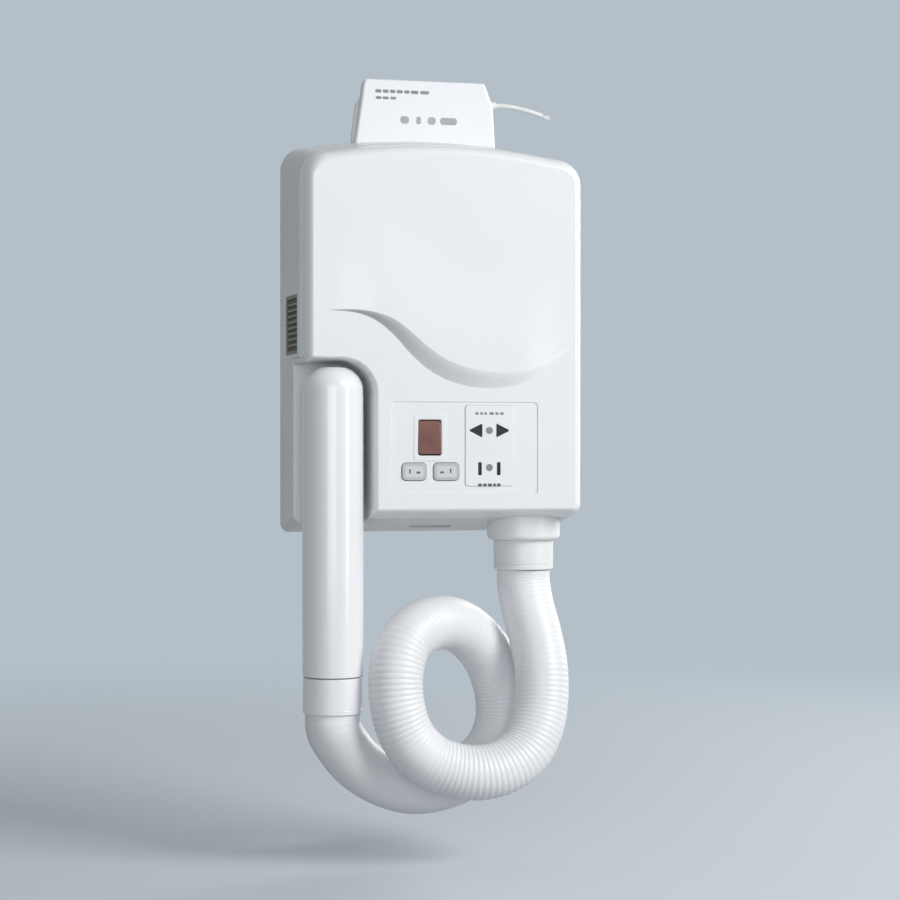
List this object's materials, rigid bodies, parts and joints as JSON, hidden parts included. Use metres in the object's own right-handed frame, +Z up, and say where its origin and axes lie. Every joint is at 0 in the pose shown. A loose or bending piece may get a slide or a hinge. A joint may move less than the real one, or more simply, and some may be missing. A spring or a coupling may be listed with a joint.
{
  "type": "wall-mounted hair dryer with hose",
  "caption": "Wall-mounted tube hair dryer: tapered housing on a wall bracket, wand in an arched cradle, ribbed hose looped to it, rocker switch, two keys and a shaver socket.",
  "frame": {"origin": "centre of the four wall screw holes, in the back face of the wall bracket", "axes": "+X to the right of someone facing the dryer, +Y into the wall, +Z up"},
  "size_m": [0.205, 0.1071, 0.526],
  "materials": {
    "housing_white": "moulded ABS, light gloss",
    "cover_white": "moulded ABS, light gloss",
    "liner_white": "moulded ABS, satin",
    "bracket_white": "moulded ABS, satin",
    "wand_white": "moulded ABS, high gloss",
    "hose_white": "soft PVC, satin, ribbed by its wire",
    "collar_white": "moulded ABS, light gloss",
    "panel_white": "moulded ABS, satin",
    "socket_white": "moulded polycarbonate, light gloss",
    "rocker_case_white": "moulded polycarbonate, light gloss",
    "rocker_tinted": "red-brown tinted lens, gloss",
    "key_gray": "moulded ABS, satin",
    "grille_olive": "moulded ABS, satin",
    "filter_gray": "open dust foam",
    "switch_green": "small circuit board",
    "board_green": "glass epoxy circuit board",
    "relay_blue": "moulded case",
    "capacitor_yellow": "film capacitor case",
    "key_switch_black": "moulded switch case",
    "screw_steel": "zinc plated",
    "spring_steel": "bright wire",
    "shaft_steel": "ground",
    "motor_steel": "drawn can",
    "thermostat_steel": "drawn cap",
    "fuse_tan": "tinned case",
    "terminal_brass": "machined",
    "contact_brass": "stamped strip",
    "core_copper": "tinned copper strand",
    "block_ivory": "moulded nylon",
    "scroll_gray": "moulded glass-filled nylon",
    "impeller_gray": "moulded nylon",
    "duct_white": "moulded heat-proof plastic",
    "mica_tan": "mica sheet",
    "heater_wire": "resistance wire",
    "magnet_gray": "ferrite",
    "core_steel": "varnished laminations",
    "coil_red": "enamelled copper under tape",
    "grille_metal": "plated wire",
    "lead_white": "PVC sheath",
    "peg_gray": "moulded nylon"
  },
  "bodies": {
    "housing": {"wall_bracket": "bracket_white", "terminal_cover": "bracket_white", "terminal_block": "block_ivory", "terminal_screws": "terminal_brass", "lead_bush": "bracket_white", "supply_lead": "lead_white", "lead_cores": "core_copper", "rear_shell": "housing_white", "front_cover": "cover_white", "cover_screws": "screw_steel", "cradle_liner": "liner_white", "cradle_peg": "peg_gray", "reed_switch": "switch_green", "inlet_grille": "grille_olive", "filter_mesh": "filter_gray", "latch_spring": "spring_steel", "fan_housing": "scroll_gray", "fan_motor": "motor_steel", "heater_duct": "duct_white", "heater_frame": "mica_tan", "heater_coil": "heater_wire", "thermostat": "thermostat_steel", "thermal_fuse": "fuse_tan", "control_board": "board_green", "relay": "relay_blue", "capacitor": "capacitor_yellow", "key_switches": "key_switch_black", "board_screws": "screw_steel", "panel_plate": "panel_white", "rocker_case": "rocker_case_white", "rocker_terminals": "contact_brass", "socket_plate": "socket_white", "socket_body": "socket_white", "socket_contacts": "contact_brass", "transformer_core": "core_steel", "transformer_coil": "coil_red", "hose_collar": "collar_white", "hose_cuff": "collar_white", "hose": "hose_white"},
    "wand": {"wand_tube": "wand_white", "wand_grille": "grille_metal", "wand_magnet": "magnet_gray", "wand_sleeve": "wand_white"},
    "rocker_switch": {"rocker": "rocker_tinted"},
    "left_key": {"key_left": "key_gray"},
    "right_key": {"key_right": "key_gray"},
    "latch": {"release_latch": "housing_white"},
    "fan": {"impeller": "impeller_gray", "motor_shaft": "shaft_steel"}
  },
  "joints": [
    {"name": "wand_lift", "type": "slide", "parent": "housing", "child": "wand", "axis": [0, -1, 0], "range_m": [0, 0.06], "deforming": ["hose"]},
    {"name": "rocker_tilt", "type": "hinge", "parent": "housing", "child": "rocker_switch", "pos_m": [-0.0103, -0.081, -0.0745], "axis": [1, 0, 0], "range_deg": [0, 12]},
    {"name": "left_key_press", "type": "slide", "parent": "housing", "child": "left_key", "axis": [0, 1, 0], "range_m": [0, 0.0015], "stiffness_N_per_m": 400},
    {"name": "right_key_press", "type": "slide", "parent": "housing", "child": "right_key", "axis": [0, 1, 0], "range_m": [0, 0.0015], "stiffness_N_per_m": 400},
    {"name": "latch_push", "type": "slide", "parent": "housing", "child": "latch", "axis": [0, 0, 1], "range_m": [0, 0.004], "stiffness_N_per_m": 300, "deforming": ["latch_spring"]},
    {"name": "fan_spin", "type": "hinge", "parent": "housing", "child": "fan", "pos_m": [0.026, -0.04, 0.048], "axis": [0, 1, 0], "continuous": true}
  ]
}
